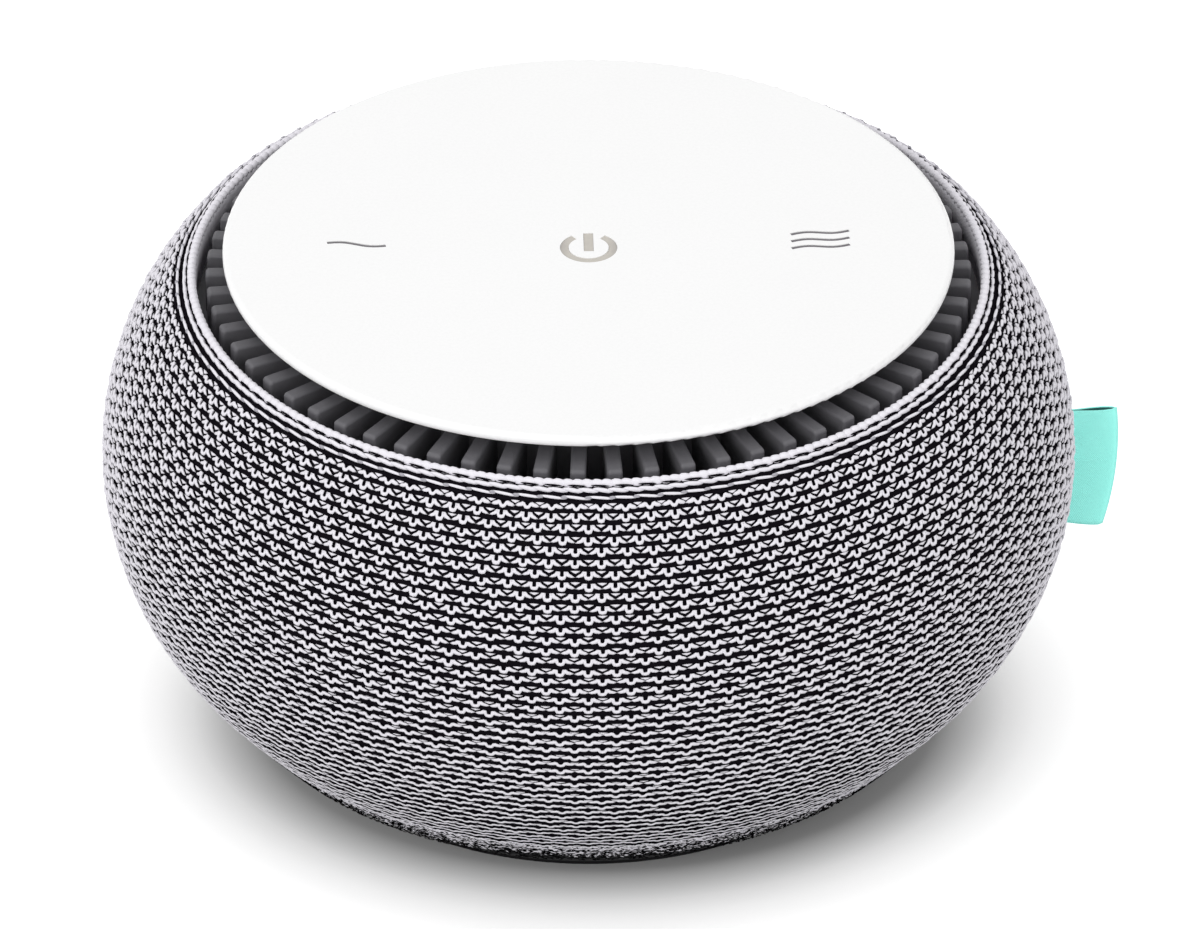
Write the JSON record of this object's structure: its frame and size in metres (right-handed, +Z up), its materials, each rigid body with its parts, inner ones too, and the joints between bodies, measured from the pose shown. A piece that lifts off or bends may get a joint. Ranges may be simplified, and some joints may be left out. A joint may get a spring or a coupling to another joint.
{
  "type": "white noise sound machine",
  "caption": "Round real-fan sound machine with a knitted side sleeve, a ring of vent fins and a white touch cap on top.",
  "frame": {"origin": "centre of the foot ring's resting face, on the body's round axis", "axes": "+Z up along the body's round axis, -Y to the front, +X towards the side label"},
  "size_m": [0.1486, 0.1422, 0.08],
  "materials": {
    "knit_fabric": "matte",
    "hem_fabric": "matte",
    "mint_ribbon": "satin",
    "white_plastic": "satin",
    "icon_beige": "matte",
    "grille_grey": "matte",
    "shell_black": "matte",
    "base_black": "fine texture",
    "foot_rubber": "matte",
    "housing_grey": "matte",
    "wheel_plastic": "satin",
    "board_green": "satin",
    "chip_black": "matte",
    "capacitor_sleeve": "satin",
    "socket_cream": "matte",
    "led_lens": "gloss",
    "screw_steel": "zinc plated",
    "bearing_steel": "polished",
    "stator_steel": "laminated",
    "winding_copper": "enamelled",
    "magnet_dark": "matte",
    "can_steel": "satin",
    "isolator_rubber": "matte",
    "mount_plastic": "matte",
    "jack_black": "satin",
    "pin_nickel": "plated",
    "ribbon_grey": "satin",
    "wire_red": "satin"
  },
  "bodies": {
    "base": {"foot_ring": "foot_rubber", "base_plate": "base_black", "base_screws": "screw_steel", "power_jack": "jack_black", "jack_pin": "pin_nickel", "jack_board": "board_green", "jack_board_screws": "screw_steel", "main_board": "board_green", "main_board_screws": "screw_steel", "controller_chip": "chip_black", "capacitors": "capacitor_sleeve", "board_sockets": "socket_cream", "fan_housing": "housing_grey", "housing_screws": "screw_steel", "inlet_ring": "housing_grey", "tie_screws": "screw_steel", "glide_ring": "housing_grey", "motor_isolators": "isolator_rubber", "motor_mount": "mount_plastic", "motor_screws": "screw_steel", "bearing_outer_races": "bearing_steel", "bearing_balls": "bearing_steel", "stator_core": "stator_steel", "stator_windings": "winding_copper", "motor_board": "board_green", "vent_grille": "grille_grey", "top_cap": "white_plastic", "icon_inlays": "icon_beige", "cap_screws": "screw_steel", "touch_board": "board_green", "touch_board_screws": "screw_steel", "touch_chip": "chip_black", "touch_socket": "socket_cream", "indicator_leds": "led_lens", "ribbon_cable": "ribbon_grey", "motor_lead": "wire_red", "power_lead": "wire_red"},
    "shell": {"outer_shell": "shell_black", "knit_sleeve": "knit_fabric", "rim_hem": "hem_fabric", "side_label": "mint_ribbon", "tone_collar": "shell_black"},
    "rotor": {"magnet_ring": "magnet_dark", "rotor_can": "can_steel", "motor_shaft": "bearing_steel", "shaft_clip": "bearing_steel", "fan_wheel": "wheel_plastic", "bearing_inner_races": "bearing_steel"}
  },
  "joints": [
    {"name": "fan_spin", "type": "hinge", "parent": "base", "child": "rotor", "pos_m": [0, 0, 0.0415], "axis": [0, 0, 1], "continuous": true},
    {"name": "shell_turn", "type": "hinge", "parent": "base", "child": "shell", "pos_m": [0, 0, 0.0077], "axis": [0, 0, 1], "range_deg": [-11, 11]}
  ]
}
